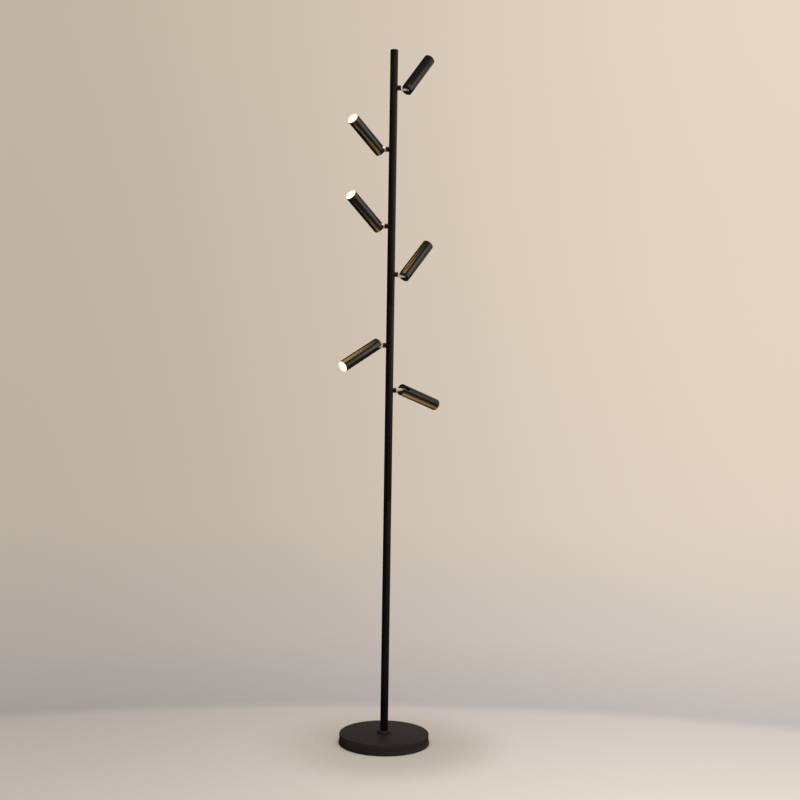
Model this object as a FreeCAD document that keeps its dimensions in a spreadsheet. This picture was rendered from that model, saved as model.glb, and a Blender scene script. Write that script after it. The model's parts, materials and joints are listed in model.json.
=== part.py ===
import FreeCAD, Part
import math
import os
import re

import Sketcher
from FreeCAD import Placement, Rotation, Vector

# Tree floor lamp: a round weighted base, a slim pole of three tubes, and six small spot
# heads that branch off the pole to the right and left. Each head turns about its boss on
# the pole and tilts about a pin behind it.
# Millimetres and degrees. Origin: centre of the base's underside, on the pole's axis.
# +Z is up, +X is to the right and +Y is away from the front.

RIGHT, LEFT = 1, -1

# From the top down: the side a head is on, the tube that carries it, how far its boss lies
# under the boss above it (the first under the pole's top), and how the head is aimed at rest.
# Swivel turns it about the boss, 0 with the head in the upright plane of the pole; tilt is 0
# straight out.
HEADS = (
    (RIGHT, "upper", 92.0, -32.0, 63.0),
    (LEFT, "upper", 149.0, -55.0, 58.0),
    (LEFT, "upper", 186.5, -48.0, 56.5),
    (RIGHT, "upper", 117.0, -35.0, 61.0),
    (LEFT, "middle", 172.0, -131.0, 48.0),
    (RIGHT, "middle", 109.0, -115.0, 45.0),
)

SIZES = (
    ("total_height", 1680.0, "floor to the top of the pole"),
    # pole
    ("pole_dia", 19.0, "outer diameter of the pole"),
    ("pole_wall", 1.2, "wall of the pole's tubes"),
    ("upper_seam_drop", 76.0, "boss 4 down to the seam of the upper and middle tubes"),
    ("lower_seam_drop", 269.0, "boss 6 down to the seam of the middle and lower tubes"),
    ("coupler_length", 44.0, "threaded sleeve inside each seam"),
    ("coupler_bore", 9.0, "way through a coupler for the leads"),
    ("cap_height", 3.0, "part of the top cap that shows"),
    ("cap_plug_length", 12.0, "part of the top cap inside the tube"),
    ("cap_round", 0.9, "rounding of the cap's upper edge"),
    ("collar_dia", 34.0, "ring at the pole's foot"),
    ("collar_height", 6.0, "height of that ring"),
    ("collar_round", 3.6, "rounding of the ring's upper edge"),
    # base
    ("base_dia", 220.0, "base at its flared lower edge"),
    ("base_height", 25.0, "floor to the base's top"),
    ("waist_inset", 2.0, "waist of the base's side, inside its flared lower edge"),
    ("waist_height", 15.5, "height of the waist"),
    ("waist_curve", 43.0, "radius of the side's hollow"),
    ("hem_height", 5.0, "height of the straight lower edge inside the cover"),
    ("rim_round", 3.0, "rounding round the base's top"),
    ("rim_lift", 1.0, "cover's edge above the floor"),
    ("cover_wall", 2.0, "wall of the base's cover"),
    ("sole_thickness", 2.0, "rubber sole under the base"),
    ("weight_gap", 3.0, "iron weight to the cover's side"),
    ("clamp_web", 6.0, "iron left above the nut's recess"),
    ("recess_dia", 30.0, "recess round the nut"),
    ("stud_dia", 10.0, "hollow stud that holds the pole to the base"),
    ("stud_bore", 6.0, "way through the stud for the leads"),
    ("stud_engagement", 18.0, "stud inside the foot plug"),
    ("stud_tail", 1.0, "stud that shows under its nut"),
    ("foot_plug_length", 22.0, "threaded plug in the pole's foot"),
    ("washer_dia", 24.0, "washer above the nut"),
    ("washer_thickness", 1.6, "washer above the nut"),
    ("nut_across_corners", 19.6, "hexagon nut, corner to corner"),
    ("nut_height", 5.0, "hexagon nut"),
    ("driver_length", 90.0, "LED driver, side to side"),
    ("driver_width", 40.0, "LED driver, front to back"),
    ("driver_height", 15.0, "LED driver"),
    ("driver_offset", 30.0, "pole's axis to the driver's front face"),
    ("driver_round", 2.0, "rounding of the driver's upright edges"),
    ("lead_channel_width", 8.0, "channel from the driver to the nut's recess"),
    ("cord_channel_width", 18.0, "channel from the driver to the gland"),
    # gland for the supply cord
    ("gland_height", 11.0, "height of the gland's axis"),
    ("gland_bore", 6.4, "gland's bore, for the supply cord"),
    ("gland_neck_dia", 9.6, "gland where it passes the cover"),
    ("gland_flange_dia", 12.0, "gland's flange outside the cover"),
    ("gland_flange", 1.4, "thickness of that flange"),
    ("gland_round", 0.6, "rounding of that flange"),
    ("gland_tail", 1.6, "gland inside the cover's narrowest part"),
    # leads
    ("loom_dia", 4.4, "bundle of leads inside the pole"),
    ("loom_bend", 6.0, "bend of that bundle under the stud"),
    ("loom_floor_gap", 0.3, "bundle above the sole"),
    ("loom_end_drop", 60.0, "end of the bundle under the pole's top"),
    # boss and knuckle
    ("boss_dia", 12.0, "boss on the pole"),
    ("boss_length", 7.5, "boss, from the pole's surface"),
    ("boss_round", 0.6, "rounding of the boss's outer edge"),
    ("spigot_dia", 8.8, "boss where it passes the pole's wall"),
    ("spigot_proud", 1.3, "spigot inside the pole's wall"),
    ("shank_dia", 6.0, "hollow shank of the knuckle"),
    ("shank_bore", 2.6, "way for a head's two leads"),
    ("swage_dia", 8.0, "flared end of the shank inside the pole"),
    ("swage_length", 1.5, "that flared end"),
    ("flange_dia", 13.0, "knuckle's flange against the boss"),
    ("flange_thickness", 1.0, "that flange"),
    ("tongue_thickness", 7.0, "knuckle's tongue between the fork's cheeks"),
    ("tongue_width", 12.6, "knuckle's tongue across"),
    ("lead_exit", 5.0, "flange's outer face to the leads' exit hole"),
    ("sweep_gap", 0.55, "tube's rear corner to the knuckle's flange as it tilts"),
    # head
    ("tube_dia", 28.0, "outer diameter of a head's tube"),
    ("tube_wall", 1.5, "wall of that tube"),
    ("tube_length", 121.5, "length of that tube"),
    ("tube_rear_round", 0.4, "rounding of its rear edge"),
    ("tube_front_round", 0.5, "rounding of its front edge"),
    ("pivot_inset", 8.5, "pivot ahead of the tube's rear face"),
    ("lip_depth", 1.2, "lip in front of the lens"),
    ("lip_width", 0.6, "lip over the lens's edge"),
    ("fork_length", 32.5, "fork that closes the tube's rear"),
    ("slot_end_gap", 0.7, "slot past the tongue's round end"),
    ("pin_dia", 4.0, "pivot pin"),
    ("pin_inset", 0.4, "pin's end under the tube's inner wall"),
    ("board_thickness", 1.6, "LED board"),
    ("chip_dia", 11.0, "LED chip on the board"),
    ("chip_height", 1.0, "LED chip on the board"),
    ("lens_height", 18.0, "lens, from its foot to its front"),
    ("lens_rim", 3.2, "lens's full-width rim"),
    ("lens_dome", 0.4, "rise of the lens's front"),
    ("lens_foot_wall", 1.2, "ring that the lens stands on"),
    ("chip_gap", 0.9, "chip to that ring"),
    ("chip_cover_gap", 1.0, "chip's face to the lens over it"),
    ("sink_flange", 4.0, "heat sink's end discs"),
    ("sink_core_dia", 11.0, "heat sink's core"),
    ("fin_slot", 3.0, "slot between two fins"),
    ("fin_count", 10.0, "slots round the heat sink"),
    ("sink_bore", 3.4, "way for the leads through fork and heat sink"),
    # fits
    ("slip_gap", 0.1, "radial gap of a piece that slides into a tube"),
    ("thread_gap", 0.05, "radial gap between threaded pieces"),
    ("run_gap", 0.05, "radial gap of a shaft that turns"),
    ("press_gap", 0.02, "radial gap of a pressed pin"),
    ("thrust_gap", 0.2, "gap between faces that turn past each other"),
    ("cheek_gap", 0.3, "tongue to each cheek of the fork"),
    ("bolt_gap", 0.3, "radial gap of a bolt's hole"),
    ("pocket_gap", 0.4, "driver to its pocket"),
    ("gland_gap", 0.15, "gland to the cover's hole"),
)
for head, (_, _, drop, swivel, tilt) in enumerate(HEADS, start=1):
    SIZES += (
        (f"boss_drop_{head}", drop, f"boss {head} under the one above it"),
        (f"swivel_{head}", swivel, f"head {head} about its boss at rest"),
        (f"tilt_{head}", tilt, f"head {head} about its pin at rest"),
    )

doc = FreeCAD.newDocument("TreeFloorLamp")
sheet = doc.addObject("Spreadsheet::Sheet", "sizes")
for row, (alias, value, meaning) in enumerate(SIZES, start=1):
    sheet.set(f"A{row}", alias)
    sheet.set(f"B{row}", str(value))
    sheet.set(f"C{row}", meaning)
    sheet.setAlias(f"B{row}", alias)
doc.recompute()

SIZE_NAMES = {alias for alias, *_ in SIZES}
nodes = []


# ---------------------------------------------------------------- helpers

def formula(text):
    """Turns a formula on size names into an expression on the sheet's cells."""
    def cell(word):
        return "sizes." + word.group() if word.group() in SIZE_NAMES else word.group()
    return re.sub(r"[a-z][a-z0-9_]*", cell, text)


def bind(piece, field, text):
    """Ties a field of a piece to a formula on size names."""
    piece.setExpression(field, formula(text))


def at_point(piece, x="0", y="0", z="0"):
    """Ties the place of a piece to three formulas."""
    for axis, text in zip("xyz", (x, y, z)):
        if text != "0":
            bind(piece, "Placement.Base." + axis, text)


def new_body(name):
    """Starts a sub-part whose label names its file."""
    body = doc.addObject("PartDesign::Body", name)
    body.Label = name
    nodes.append(body)
    return body


def new_sketch(body, name, role):
    """A sketch on one of the body's own origin planes."""
    sketch = body.newObject("Sketcher::SketchObject", name)
    plane = next(item for item in body.Origin.OriginFeatures if item.Role == role)
    sketch.AttachmentSupport = [(plane, "")]
    sketch.MapMode = "FlatFace"
    return sketch


def hold(sketch, kind, edge, text):
    """Holds an edge's first point at a formula from the sketch's origin."""
    axis = {"DistanceX": -2, "DistanceY": -1}[kind]
    if text == "0":
        sketch.addConstraint(Sketcher.Constraint("PointOnObject", edge, 1, axis))
        return
    index = sketch.addConstraint(Sketcher.Constraint(kind, -1, 1, edge, 1, 1.0))
    bind(sketch, f"Constraints[{index}]", text)


def outline(sketch, corners):
    """Closed outline of straight edges through corners given as (across, up) formulas."""
    count = len(corners)
    turns = [2 * math.pi * index / count for index in range(count)]
    rough = [Vector(2 + math.cos(turn), 2 + math.sin(turn), 0) for turn in turns]
    edges = [Part.LineSegment(rough[i], rough[(i + 1) % count]) for i in range(count)]
    sketch.addGeometry(edges, False)
    for index in range(count):
        following = (index + 1) % count
        sketch.addConstraint(Sketcher.Constraint("Coincident", index, 2, following, 1))
    for index, (across, up) in enumerate(corners):
        hold(sketch, "DistanceX", index, across)
        hold(sketch, "DistanceY", index, up)


def round_hole(sketch, radius, across="0", up="0"):
    """Circle with its radius and centre tied to formulas."""
    edge = sketch.addGeometry(Part.Circle(Vector(1, 1, 0), Vector(0, 0, 1), 1), False)
    index = sketch.addConstraint(Sketcher.Constraint("Radius", edge, 1.0))
    bind(sketch, f"Constraints[{index}]", radius)
    for kind, axis, text in (("DistanceX", -2, across), ("DistanceY", -1, up)):
        if text == "0":
            sketch.addConstraint(Sketcher.Constraint("PointOnObject", edge, 3, axis))
        else:
            index = sketch.addConstraint(Sketcher.Constraint(kind, -1, 1, edge, 3, 1.0))
            bind(sketch, f"Constraints[{index}]", text)


def turned(name, corners):
    """Sub-part turned about its own Z axis from (radius, height) formulas."""
    body = new_body(name)
    sketch = new_sketch(body, name + "_profile", "XZ_Plane")
    outline(sketch, corners)
    turn = body.newObject("PartDesign::Revolution", name + "_turned")
    turn.Profile = sketch
    turn.ReferenceAxis = (sketch, ["V_Axis"])
    turn.Angle = 360.0
    body.Tip = turn
    return body


def tube_outline(inner, outer, low, high):
    """Corners of a plain ring's section."""
    return ((inner, low), (outer, low), (outer, high), (inner, high))


def shaped(body, kind, name, sizes, at=("0", "0", "0"), turn=None):
    """Adds or cuts a plain box or cylinder, with its sizes and place tied to formulas."""
    feature = body.newObject("PartDesign::" + kind, name)
    if turn is not None:
        feature.Placement = Placement(Vector(), turn)
    for field, text in sizes.items():
        bind(feature, field, text)
    at_point(feature, *at)
    body.Tip = feature
    return feature


def round_rim(body, name, radius, top=True):
    """Rounds the widest circular edge at the body's top or bottom."""
    doc.recompute()
    base = body.Tip
    rims = []
    for index, edge in enumerate(base.Shape.Edges, start=1):
        if isinstance(edge.Curve, Part.Circle) and len(edge.Vertexes) == 1:
            height = round(edge.Curve.Center.z, 3)
            rims.append((height if top else -height, edge.Curve.Radius, f"Edge{index}"))
    rounding = body.newObject("PartDesign::Fillet", name)
    rounding.Base = (base, [max(rims)[2]])
    bind(rounding, "Radius", radius)
    body.Tip = rounding


ALONG_X = Rotation(Vector(0, 1, 0), 90)
ALONG_MINUS_X = Rotation(Vector(0, 1, 0), -90)
ALONG_Y = Rotation(Vector(1, 0, 0), -90)
# Own Z to the right, own X to the front and own Y down the pole.
OUTWARD = Rotation(Vector(0, -1, 0), Vector(0, 0, -1), Vector(1, 0, 0), "ZXY")

# ---------------------------------------------------------------- shared formulas

POLE_RADIUS = "pole_dia/2"
POLE_BORE = "(pole_dia/2 - pole_wall)"
COVER_UNDERSIDE = "(base_height - cover_wall)"
WAIST_RADIUS = "(base_dia/2 - waist_inset)"
WEIGHT_RADIUS = f"({WAIST_RADIUS} - cover_wall - weight_gap)"
RECESS_TOP = f"({COVER_UNDERSIDE} - clamp_web)"
WASHER_LOW = f"({RECESS_TOP} - washer_thickness)"
NUT_LOW = f"({WASHER_LOW} - nut_height)"
STUD_LOW = f"({NUT_LOW} - stud_tail)"
BOLT_HOLE = "(stud_dia/2 + bolt_gap)"
POLE_TOP = "(total_height - cap_height)"

BOSS_FACE = "(pole_dia/2 + boss_length)"
SPIGOT_END = "(pole_dia/2 - pole_wall - spigot_proud)"
FLANGE_NEAR = f"({BOSS_FACE} + thrust_gap)"
FLANGE_FAR = f"({FLANGE_NEAR} + flange_thickness)"
PIVOT_REACH = f"({FLANGE_FAR} + sweep_gap + sqrt((tube_dia/2)^2 + pivot_inset^2))"

TUBE_BORE = "(tube_dia/2 - tube_wall)"
INSERT_RADIUS = f"({TUBE_BORE} - slip_gap)"
TUBE_FRONT = "(tube_length - pivot_inset)"
LENS_FRONT = f"({TUBE_FRONT} - lip_depth)"
BOARD_FRONT = f"({LENS_FRONT} - lens_height)"
BOARD_BACK = f"({BOARD_FRONT} - board_thickness)"
FORK_FRONT = "(fork_length - pivot_inset)"
SLOT_WIDTH = "(tongue_thickness + 2*cheek_gap)"
SLOT_DEPTH = "(pivot_inset + tongue_width/2 + slot_end_gap)"


def heads_on(tube):
    """Numbers of the heads that a tube of the pole carries, from the top down."""
    return [number for number, head in enumerate(HEADS, start=1) if head[1] == tube]


def boss_height(number):
    """Height of a boss: the pole's height less every drop down to it."""
    drops = "".join(f" - boss_drop_{above}" for above in range(1, number + 1))
    return f"(total_height{drops})"


UPPER_SEAM = f"({boss_height(heads_on('upper')[-1])} - upper_seam_drop)"
LOWER_SEAM = f"({boss_height(heads_on('middle')[-1])} - lower_seam_drop)"


def side_turn(side):
    """Half turn about the pole for what is on its left."""
    return Rotation(Vector(0, 0, 1), 0 if side == RIGHT else 180)


def knuckle_turn(number):
    """Lays the knuckle's own Z along its boss and its X along the pivot pin."""
    side = HEADS[number - 1][0]
    swivel = Rotation(Vector(1, 0, 0), float(sheet.get(f"swivel_{number}")))
    return side_turn(side) * swivel * OUTWARD


def head_turn(number):
    """Turns the head's own Z, the tube's axis, from the boss towards its aim."""
    tilt = Rotation(Vector(1, 0, 0), float(sheet.get(f"tilt_{number}")))
    return knuckle_turn(number) * tilt


# ---------------------------------------------------------------- base

def make_base_cover():
    """Round cover: top plate and side in one, with a hollow side and a gland hole."""
    body = turned("base_cover", (
        (BOLT_HOLE, COVER_UNDERSIDE),
        (f"{WAIST_RADIUS} - cover_wall", COVER_UNDERSIDE),
        (f"{WAIST_RADIUS} - cover_wall", "waist_height"),
        ("base_dia/2 - cover_wall", "hem_height"),
        ("base_dia/2 - cover_wall", "rim_lift"),
        ("base_dia/2", "rim_lift"),
        ("base_dia/2", "base_height"),
        (BOLT_HOLE, "base_height"),
    ))
    hollow = new_sketch(body, "base_cover_hollow_profile", "XZ_Plane")
    round_hole(hollow, "waist_curve", f"{WAIST_RADIUS} + waist_curve", "waist_height")
    groove = body.newObject("PartDesign::Groove", "base_cover_hollow")
    groove.Profile = hollow
    groove.ReferenceAxis = (hollow, ["V_Axis"])
    groove.Angle = 360.0
    body.Tip = groove
    round_rim(body, "base_cover_top_round", "rim_round")
    shaped(body, "SubtractiveCylinder", "base_cover_gland_hole",
           {"Radius": "gland_neck_dia/2 + gland_gap", "Height": "base_dia"},
           ("0", "0", "gland_height"), ALONG_Y)


def make_base_weight():
    """Iron disc with a nut recess, a driver pocket and two channels in its underside."""
    body = turned("base_weight", (
        (BOLT_HOLE, RECESS_TOP),
        ("recess_dia/2", RECESS_TOP),
        ("recess_dia/2", "sole_thickness"),
        (WEIGHT_RADIUS, "sole_thickness"),
        (WEIGHT_RADIUS, COVER_UNDERSIDE),
        (BOLT_HOLE, COVER_UNDERSIDE),
    ))
    pocket_height = "(driver_height + pocket_gap)"
    shaped(body, "SubtractiveBox", "driver_pocket",
           {"Length": "driver_length + 2*pocket_gap",
            "Width": "driver_width + 2*pocket_gap",
            "Height": pocket_height},
           ("-driver_length/2 - pocket_gap", "driver_offset - pocket_gap", "sole_thickness"))
    shaped(body, "SubtractiveBox", "lead_channel",
           {"Length": "lead_channel_width", "Width": "driver_offset",
            "Height": "lead_channel_width"},
           ("-lead_channel_width/2", "0", "sole_thickness"))
    shaped(body, "SubtractiveBox", "cord_channel",
           {"Length": "cord_channel_width",
            "Width": "base_dia/2 - driver_offset - driver_width",
            "Height": pocket_height},
           ("-cord_channel_width/2", "driver_offset + driver_width", "sole_thickness"))


def make_base_sole():
    """Rubber disc that the lamp stands on."""
    body = new_body("base_sole")
    shaped(body, "AdditiveCylinder", "base_sole_disc",
           {"Radius": WEIGHT_RADIUS, "Height": "sole_thickness"})


def make_base_stud():
    """Hollow stud through weight, cover and foot plug."""
    turned("base_stud", tube_outline(
        "stud_bore/2", "stud_dia/2", STUD_LOW, "base_height + stud_engagement"))


def make_base_washer():
    """Washer between the nut and the weight."""
    turned("base_washer", tube_outline(
        BOLT_HOLE, "washer_dia/2", WASHER_LOW, RECESS_TOP))


def make_base_nut():
    """Hexagon nut on the stud."""
    hexagon = doc.addObject("Part::Prism", "nut_hexagon")
    hexagon.Polygon = 6
    bind(hexagon, "Circumradius", "nut_across_corners/2")
    bind(hexagon, "Height", "nut_height")
    at_point(hexagon, z=NUT_LOW)
    hole = doc.addObject("Part::Cylinder", "nut_hole")
    bind(hole, "Radius", "stud_dia/2 + thread_gap")
    bind(hole, "Height", "nut_height")
    at_point(hole, z=NUT_LOW)
    nut = doc.addObject("Part::Cut", "base_nut")
    nut.Label = "base_nut"
    nut.Base = hexagon
    nut.Tool = hole
    nodes.append(nut)


def make_led_driver():
    """Sealed driver in the weight's pocket, lying on the sole."""
    body = new_body("led_driver")
    block = shaped(body, "AdditiveBox", "led_driver_block",
                   {"Length": "driver_length", "Width": "driver_width",
                    "Height": "driver_height"},
                   ("-driver_length/2", "driver_offset", "sole_thickness"))
    doc.recompute()
    upright = [f"Edge{index}" for index, edge in enumerate(block.Shape.Edges, start=1)
               if abs(edge.tangentAt(edge.FirstParameter).z) > 0.99]
    rounding = body.newObject("PartDesign::Fillet", "led_driver_round")
    rounding.Base = (block, upright)
    bind(rounding, "Radius", "driver_round")
    body.Tip = rounding


def make_cord_gland():
    """Gland in the cover's rear, its flange outside; its own Z points out of the base."""
    flange_face = "base_dia/2 + gland_gap"
    inner_end = f"({WAIST_RADIUS} - cover_wall - gland_tail)"
    body = turned("cord_gland", (
        ("gland_bore/2", inner_end),
        ("gland_neck_dia/2", inner_end),
        ("gland_neck_dia/2", flange_face),
        ("gland_flange_dia/2", flange_face),
        ("gland_flange_dia/2", flange_face + " + gland_flange"),
        ("gland_bore/2", flange_face + " + gland_flange"),
    ))
    round_rim(body, "cord_gland_round", "gland_round")
    body.Placement = Placement(Vector(), ALONG_Y)
    at_point(body, z="gland_height")


# ---------------------------------------------------------------- pole

def make_pole_tube(name, low, high, numbers):
    """One tube of the pole, with a hole for each boss that it carries."""
    body = turned(name, tube_outline(POLE_BORE, POLE_RADIUS, low, high))
    for number in numbers:
        side = HEADS[number - 1][0]
        shaped(body, "SubtractiveCylinder", f"boss_hole_{number}",
               {"Radius": "spigot_dia/2 + slip_gap", "Height": "pole_dia"},
               ("0", "0", boss_height(number)),
               ALONG_X if side == RIGHT else ALONG_MINUS_X)


def make_pole_couplers():
    """The two sleeves that join the tubes, one inside each seam."""
    sleeves = []
    for place, seam in (("lower", LOWER_SEAM), ("upper", UPPER_SEAM)):
        rod = doc.addObject("Part::Cylinder", f"{place}_coupler_rod")
        bind(rod, "Radius", f"{POLE_BORE} - slip_gap")
        bore = doc.addObject("Part::Cylinder", f"{place}_coupler_bore")
        bind(bore, "Radius", "coupler_bore/2")
        for cylinder in (rod, bore):
            bind(cylinder, "Height", "coupler_length")
            at_point(cylinder, z=f"{seam} - coupler_length/2")
        sleeve = doc.addObject("Part::Cut", f"{place}_coupler")
        sleeve.Base = rod
        sleeve.Tool = bore
        sleeves.append(sleeve)
    couplers = doc.addObject("Part::Compound", "pole_couplers")
    couplers.Label = "pole_couplers"
    couplers.Links = sleeves
    nodes.append(couplers)


def make_foot_plug():
    """Threaded plug in the pole's foot, standing on the cover."""
    turned("foot_plug", tube_outline(
        "stud_dia/2 + thread_gap", f"{POLE_BORE} - slip_gap",
        "base_height", "base_height + foot_plug_length"))


def make_pole_collar():
    """Rounded ring that hides the pole's foot."""
    body = turned("pole_collar", tube_outline(
        "pole_dia/2 + slip_gap", "collar_dia/2",
        "base_height", "base_height + collar_height"))
    round_rim(body, "pole_collar_round", "collar_round")


def make_pole_cap():
    """Cap on the pole's top: a plug inside the tube and a lid as wide as the pole."""
    plug_radius = f"{POLE_BORE} - slip_gap"
    body = turned("pole_cap", (
        ("0", f"{POLE_TOP} - cap_plug_length"),
        (plug_radius, f"{POLE_TOP} - cap_plug_length"),
        (plug_radius, POLE_TOP),
        (POLE_RADIUS, POLE_TOP),
        (POLE_RADIUS, "total_height"),
        ("0", "total_height"),
    ))
    round_rim(body, "pole_cap_round", "cap_round")


def make_wire_loom():
    """Bundle of leads: from the driver under the nut, round a bend and up the pole."""
    body = new_body("wire_loom")
    low = float(sheet.get("sole_thickness")) + float(sheet.get("loom_floor_gap"))
    low += float(sheet.get("loom_dia")) / 2
    bend = float(sheet.get("loom_bend"))
    top = float(sheet.get("total_height")) - float(sheet.get("loom_end_drop"))
    start = float(sheet.get("driver_offset"))
    middle = bend * (1 - math.sqrt(0.5))
    path = new_sketch(body, "wire_loom_path", "YZ_Plane")
    path.addGeometry([
        Part.LineSegment(Vector(0, top, 0), Vector(0, low + bend, 0)),
        Part.Arc(Vector(0, low + bend, 0), Vector(middle, low + middle, 0),
                 Vector(bend, low, 0)),
        Part.LineSegment(Vector(bend, low, 0), Vector(start, low, 0)),
    ], False)
    path.addConstraint([
        Sketcher.Constraint("PointOnObject", 0, 1, -2),
        Sketcher.Constraint("PointOnObject", 0, 2, -2),
        Sketcher.Constraint("Horizontal", 2),
    ])
    arc_top = 2 if path.Geometry[1].EndPoint.y > path.Geometry[1].StartPoint.y else 1
    path.addConstraint([
        Sketcher.Constraint("Tangent", 0, 2, 1, arc_top),
        Sketcher.Constraint("Tangent", 1, 3 - arc_top, 2, 1),
    ])
    for constraint, text in (
        (Sketcher.Constraint("DistanceY", -1, 1, 0, 1, top), "total_height - loom_end_drop"),
        (Sketcher.Constraint("Radius", 1, bend), "loom_bend"),
        (Sketcher.Constraint("DistanceX", -1, 1, 2, 2, start), "driver_offset"),
        (Sketcher.Constraint("DistanceY", -1, 1, 2, 2, low),
         "sole_thickness + loom_floor_gap + loom_dia/2"),
    ):
        bind(path, f"Constraints[{path.addConstraint(constraint)}]", text)
    section = new_sketch(body, "wire_loom_section", "XY_Plane")
    bind(section, "AttachmentOffset.Base.z", "total_height - loom_end_drop")
    round_hole(section, "loom_dia/2")
    pipe = body.newObject("PartDesign::AdditivePipe", "wire_loom_pipe")
    pipe.Profile = section
    pipe.Spine = (path, ["Edge1", "Edge2", "Edge3"])
    body.Tip = pipe


def make_pole_bosses():
    """Six bosses, each saddled on the pole with a spigot through its wall.

    A boss's own Z is its axis, from the pole's axis outwards, and its Y is along the pole.
    """
    bosses = []
    for number, (side, *_aim) in enumerate(HEADS, start=1):
        boss = doc.addObject("PartDesign::Body", f"boss_{number}")
        shaped(boss, "AdditiveCylinder", f"boss_barrel_{number}",
               {"Radius": "boss_dia/2", "Height": BOSS_FACE})
        round_rim(boss, f"boss_round_{number}", "boss_round")
        shaped(boss, "SubtractiveCylinder", f"boss_saddle_{number}",
               {"Radius": "pole_dia/2 + press_gap", "Height": "2*boss_dia"},
               ("0", "-boss_dia", "0"), ALONG_Y)
        shaped(boss, "AdditiveCylinder", f"boss_spigot_{number}",
               {"Radius": "spigot_dia/2", "Height": f"{BOSS_FACE} - {SPIGOT_END}"},
               ("0", "0", SPIGOT_END))
        shaped(boss, "SubtractiveCylinder", f"boss_bore_{number}",
               {"Radius": "shank_dia/2 + run_gap", "Height": BOSS_FACE})
        boss.Placement = Placement(Vector(), side_turn(side) * OUTWARD)
        at_point(boss, z=boss_height(number))
        bosses.append(boss)
    compound = doc.addObject("Part::Compound", "pole_bosses")
    compound.Label = "pole_bosses"
    compound.Links = bosses
    nodes.append(compound)


# ---------------------------------------------------------------- knuckle and head

def make_knuckle(number):
    """Swivel knuckle: hollow shank in the boss, flange, and a tongue with a round eye.

    Its own Z is the boss's axis, from the pole's axis outwards, and X is the pin's axis.
    """
    name = f"swivel_knuckle_{number}"
    swage_far = f"({SPIGOT_END} - thrust_gap)"
    swage_near = f"({swage_far} - swage_length)"
    exit_reach = f"({FLANGE_FAR} + lead_exit)"
    body = turned(name, (
        ("0", swage_near),
        ("swage_dia/2", swage_near),
        ("swage_dia/2", swage_far),
        ("shank_dia/2", swage_far),
        ("shank_dia/2", FLANGE_NEAR),
        ("flange_dia/2", FLANGE_NEAR),
        ("flange_dia/2", FLANGE_FAR),
        ("0", FLANGE_FAR),
    ))
    shaped(body, "AdditiveBox", f"tongue_{number}",
           {"Length": "tongue_thickness", "Width": "tongue_width",
            "Height": f"{PIVOT_REACH} - {FLANGE_FAR}"},
           ("-tongue_thickness/2", "-tongue_width/2", FLANGE_FAR))
    shaped(body, "AdditiveCylinder", f"eye_{number}",
           {"Radius": "tongue_width/2", "Height": "tongue_thickness"},
           ("-tongue_thickness/2", "0", PIVOT_REACH), ALONG_X)
    shaped(body, "SubtractiveCylinder", f"pin_hole_{number}",
           {"Radius": "pin_dia/2 + run_gap", "Height": "tongue_thickness"},
           ("-tongue_thickness/2", "0", PIVOT_REACH), ALONG_X)
    shaped(body, "SubtractiveCylinder", f"lead_bore_{number}",
           {"Radius": "shank_bore/2", "Height": f"{exit_reach} - {swage_near}"},
           ("0", "0", swage_near))
    shaped(body, "SubtractiveCylinder", f"lead_exit_{number}",
           {"Radius": "shank_bore/2", "Height": "tongue_thickness"},
           ("-tongue_thickness/2", "0", exit_reach), ALONG_X)
    body.Placement = Placement(Vector(), knuckle_turn(number))
    at_point(body, z=boss_height(number))


def place_in_head(body, number):
    """Puts a piece of a head at its pivot, turned to its aim."""
    side = HEADS[number - 1][0]
    body.Placement = Placement(Vector(), head_turn(number))
    at_point(body, f"{side}*{PIVOT_REACH}", "0", boss_height(number))


def make_pivot_pin(number):
    """Pin along X through both cheeks and the tongue, kept in by the tube."""
    body = new_body(f"pivot_pin_{number}")
    half = f"({TUBE_BORE} - pin_inset)"
    shaped(body, "AdditiveCylinder", f"pin_{number}",
           {"Radius": "pin_dia/2", "Height": f"2*{half}"}, (f"-{half}", "0", "0"), ALONG_X)
    place_in_head(body, number)


def make_fork(number):
    """Plug that closes the tube's rear, slotted into two cheeks for the tongue."""
    body = turned(f"hinge_fork_{number}", tube_outline(
        "sink_bore/2", INSERT_RADIUS, "-pivot_inset", FORK_FRONT))
    shaped(body, "SubtractiveBox", f"fork_slot_{number}",
           {"Length": SLOT_WIDTH, "Width": "tube_dia", "Height": SLOT_DEPTH},
           (f"-{SLOT_WIDTH}/2", "-tube_dia/2", "-pivot_inset"))
    shaped(body, "SubtractiveCylinder", f"fork_pin_hole_{number}",
           {"Radius": "pin_dia/2 + press_gap", "Height": "tube_dia"},
           ("-tube_dia/2", "0", "0"), ALONG_X)
    place_in_head(body, number)


def make_lamp_tube(number):
    """Outer tube: plain bore, a lip in front of the lens, and a slot for the tongue."""
    body = turned(f"lamp_tube_{number}", (
        (TUBE_BORE, "-pivot_inset"),
        ("tube_dia/2", "-pivot_inset"),
        ("tube_dia/2", TUBE_FRONT),
        (f"{TUBE_BORE} - lip_width", TUBE_FRONT),
        (f"{TUBE_BORE} - lip_width", LENS_FRONT),
        (TUBE_BORE, LENS_FRONT),
    ))
    round_rim(body, f"tube_front_round_{number}", "tube_front_round")
    round_rim(body, f"tube_rear_round_{number}", "tube_rear_round", top=False)
    shaped(body, "SubtractiveBox", f"tube_slot_{number}",
           {"Length": SLOT_WIDTH, "Width": "tube_dia", "Height": SLOT_DEPTH},
           (f"-{SLOT_WIDTH}/2", "-tube_dia/2", "-pivot_inset"))
    place_in_head(body, number)


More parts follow.
